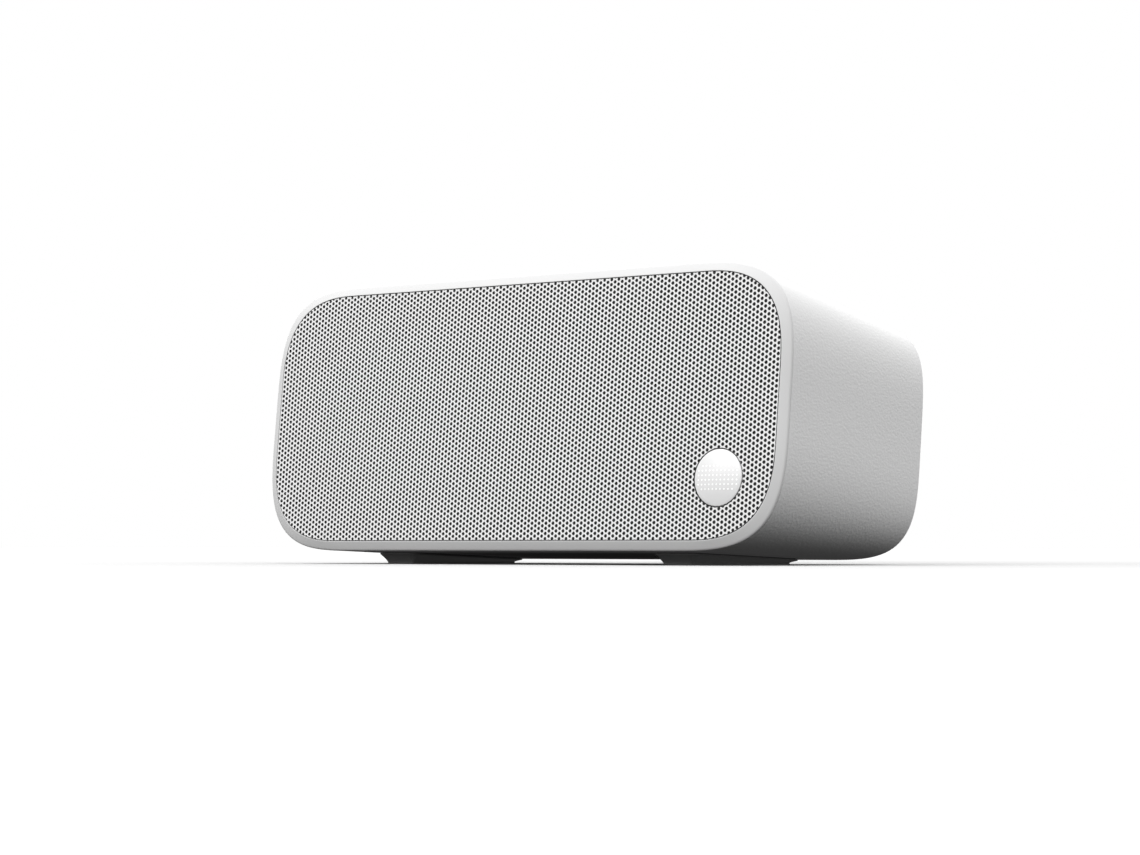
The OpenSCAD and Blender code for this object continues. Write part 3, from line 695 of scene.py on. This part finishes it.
def build_foot(node, name):
    """A runner: a flat sole with screw recesses, spreading sides and an upright lip under the cabinet."""
    low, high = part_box(node)
    middle = (low + high) / 2 / MM
    flare, corner_r, shade_gap = 4, 1, 0.4
    sole_w, sole_l = (high.x - low.x) / MM - 2 * flare, (high.y - low.y) / MM - 2 * flare
    rings = []

    def add_ring(grow, above, below, share):
        """A ring whose height is mixed from a height above the floor and one below the cabinet."""
        ring = []
        for x, y in outline(sole_w + 2 * grow, sole_l + 2 * grow, corner_r + grow, 2):
            here = (middle.y + y) * MM
            z = above * MM * (1 - share) + (underside(here) - below * MM) * share
            ring.append(Vector(((middle.x + x) * MM, here, z)))
        rings.append(ring)

    sole_h, lip_h, edge_w = 0.8, 0.75, 0.1
    for grow, above in ((-0.3, 0), (-0.09, 0.05), (0, 0.25), (0, sole_h)):
        add_ring(grow, above, 0, 0)
    steps, curve = 6, 1.3
    for i in range(1, steps + 1):
        share = i / steps
        add_ring((flare - edge_w) * share ** curve, sole_h, shade_gap + lip_h, share)
    lip = [(flare, shade_gap + lip_h - edge_w), (flare, shade_gap + 0.12), (flare - 0.12, shade_gap)]
    for grow, below in lip + [(flare - 1, shade_gap), (flare - 1, 0)]:
        add_ring(grow, 0, below, 1)
    points, faces = rings_to_mesh(rings, closed=False)
    n = len(rings[0])
    faces.append(tuple(range(len(points) - n, len(points))))
    screws = [(middle.x, y) for y in FOOT_SCREWS_Y]
    recess_r, recess_h, sides = 3.0, 2.0, 32
    sole = [(p.x / MM, p.y / MM) for p in rings[0]]
    flat, triangles, loops, _ = cut_sheet(sole, [circle(x, y, recess_r, sides) for x, y in screws])
    where = {k: i for i, k in enumerate(loops[0])}
    for k, (x, y) in enumerate(flat):
        if k not in where:
            where[k] = len(points)
            points.append(Vector((x * MM, y * MM, 0)))
    faces += [(where[a], where[c], where[b]) for a, b, c in triangles]
    for loop in loops[1:]:
        start = len(points)
        points += [Vector((flat[k][0] * MM, flat[k][1] * MM, recess_h * MM)) for k in loop]
        edge = [where[k] for k in loop]
        for k in range(sides):
            after = (k + 1) % sides
            faces.append((edge[k], edge[after], start + after, start + k))
        faces.append(tuple(reversed(range(start, start + sides))))
    add_piece(name, points, faces, "cabinet", "foot_rubber", node, sharp=35)


build_foot("left_foot", "left_runner")
build_foot("right_foot", "right_runner")


# ---- Damping pads ----

def build_pad(node, name):
    """Convoluted foam: a flat back on the wall and rows of soft peaks on the free face."""
    low, high = local(node)
    side = 1 if high[0] > 0 else -1
    wall_x, peak_x = (high[0], low[0]) if side > 0 else (low[0], high[0])
    rows, columns, peak = 56, 48, 4.5
    waves_up, waves_deep = 5, 4

    def spot(x, i, j):
        """The point of the pad's grid at a row and a column, at a given x."""
        v = low[1] + (high[1] - low[1]) * i / rows
        d = low[2] + (high[2] - low[2]) * j / columns
        return place(x, v, d)

    points = []
    for i in range(rows + 1):
        for j in range(columns + 1):
            lift = math.sin(math.pi * waves_up * i / rows) * math.sin(math.pi * waves_deep * j / columns)
            points.append(spot(peak_x + side * peak * (0.5 - 0.5 * lift), i, j))
    width = columns + 1
    faces = [
        (i * width + j, i * width + j + 1, (i + 1) * width + j + 1, (i + 1) * width + j)
        for i in range(rows) for j in range(columns)
    ]
    loop = list(range(width))
    loop += [i * width + columns for i in range(1, rows + 1)]
    loop += [rows * width + j for j in range(columns - 1, -1, -1)]
    loop += [i * width for i in range(rows - 1, 0, -1)]
    start = len(points)
    points += [spot(wall_x, *divmod(k, width)) for k in loop]
    n = len(loop)
    faces += [(loop[k], start + k, start + (k + 1) % n, loop[(k + 1) % n]) for k in range(n)]
    faces.append(tuple(start + k for k in range(n)))
    piece = add_piece(name, points, faces, "cabinet", "damping_foam", node, sharp=60)


build_pad("left_damping", "left_foam")
build_pad("right_damping", "right_foam")


# ---- Stage, light and camera ----

def add_card(name, half_x, half_y, z, surface):
    """A flat rectangle of the studio, centred under the speaker."""
    mesh = bpy.data.meshes.new(name)
    corners = [(sx * half_x, sy * half_y, z) for sx, sy in ((-1, -1), (1, -1), (1, 1), (-1, 1))]
    mesh.from_pydata(corners, [], [(0, 1, 2, 3)])
    mesh.materials.append(surface.material)
    card = bpy.data.objects.new(name, mesh)
    bpy.context.scene.collection.objects.link(card)
    return card


def matte(name, color, glow):
    """A studio surface without gloss, with a faint glow of its own."""
    return Surface(
        name, color, 0.9, Specular_IOR_Level=0.0, Emission_Color=WHITE, Emission_Strength=glow
    )


def build_stage():
    """A plain pale floor with a pool of painted shade round the speaker, and a dark card under the speaker."""
    white = matte("floor_white_painted_shade", color=0.74, glow=0.02)
    # Painted shade: the floor's colour darkens from 0.74 to 0.61 towards the speaker, fully within 0.3 m and
    # fading out by 0.75 m.
    distance = white.node("ShaderNodeVectorMath", operation="LENGTH")
    white.link(white.coords, distance.inputs[0])
    near = white.node("ShaderNodeMapRange", From_Min=0.3, From_Max=0.75, To_Min=1.0, To_Max=0.0)
    white.link(distance.outputs["Value"], near.inputs["Value"])
    white.vary_color(near.outputs["Result"], 0.61)
    floor = add_card("floor", half_x=6, half_y=6, z=0, surface=white)
    floor.visible_diffuse = False
    floor.visible_glossy = False
    black = matte("shade_black", color=0.01, glow=0.008)
    shade = add_card("shade", half_x=0.075, half_y=0.05, z=-0.001, surface=black)
    shade.visible_camera = False


def build_world():
    """White to the camera; for lighting, bright above and dark below the floor."""
    world = bpy.data.worlds.new("studio")
    bpy.context.scene.world = world
    world.use_nodes = True
    tree = world.node_tree
    nodes = tree.nodes
    nodes.clear()
    coords = nodes.new("ShaderNodeTexCoord")
    split = nodes.new("ShaderNodeSeparateXYZ")
    tree.links.new(coords.outputs["Generated"], split.inputs[0])
    strength = nodes.new("ShaderNodeMath")
    horizon, sky = (-0.03, 0.17, 0.05, 1.09), (0.12, 0.6, 0.0, 0.81)
    for socket, (start, end, low, high) in zip(strength.inputs, (horizon, sky)):
        ramp = nodes.new("ShaderNodeMapRange")
        for name, value in (("From Min", start), ("From Max", end), ("To Min", low), ("To Max", high)):
            ramp.inputs[name].default_value = value
        tree.links.new(split.outputs["Z"], ramp.inputs["Value"])
        tree.links.new(ramp.outputs["Result"], socket)
    light = nodes.new("ShaderNodeBackground")
    tree.links.new(strength.outputs[0], light.inputs["Strength"])
    seen = nodes.new("ShaderNodeBackground")
    seen.inputs["Strength"].default_value = 1.0
    seen.inputs["Color"].default_value = WHITE
    path = nodes.new("ShaderNodeLightPath")
    mix = nodes.new("ShaderNodeMixShader")
    tree.links.new(path.outputs["Is Camera Ray"], mix.inputs[0])
    tree.links.new(light.outputs[0], mix.inputs[1])
    tree.links.new(seen.outputs[0], mix.inputs[2])
    out = nodes.new("ShaderNodeOutputWorld")
    tree.links.new(mix.outputs[0], out.inputs["Surface"])


def add_light(name, size, power, location, target):
    """A square soft box that faces a target."""
    data = bpy.data.lights.new(name, "AREA")
    data.shape = "SQUARE"
    data.size = size
    data.energy = power
    lamp = bpy.data.objects.new(name, data)
    lamp.location = location
    lamp.rotation_euler = (Vector(target) - Vector(location)).to_track_quat("-Z", "Y").to_euler()
    bpy.context.scene.collection.objects.link(lamp)


def build_camera():
    """The photograph's low three-quarter view with a long lens."""
    yaw, pitch = -0.67183, 0.03964
    data = bpy.data.cameras.new("camera")
    data.lens = 94.1
    data.sensor_width = 36
    data.clip_start = 0.05
    camera = bpy.data.objects.new("camera", data)
    camera.location = (0.9284, -1.1872, 0.00927)
    forward = Vector((math.sin(yaw) * math.cos(pitch), math.cos(yaw) * math.cos(pitch), math.sin(pitch)))
    camera.rotation_euler = forward.to_track_quat("-Z", "Y").to_euler()
    bpy.context.scene.collection.objects.link(camera)
    bpy.context.scene.camera = camera


build_stage()
build_world()
add_light("front_box", size=1.3, power=13, location=(-0.5, -1.47, 1.13), target=(0, -0.05, 0.07))
build_camera()
bpy.context.scene.view_settings.view_transform = "Standard"
bpy.context.scene.view_settings.look = "None"
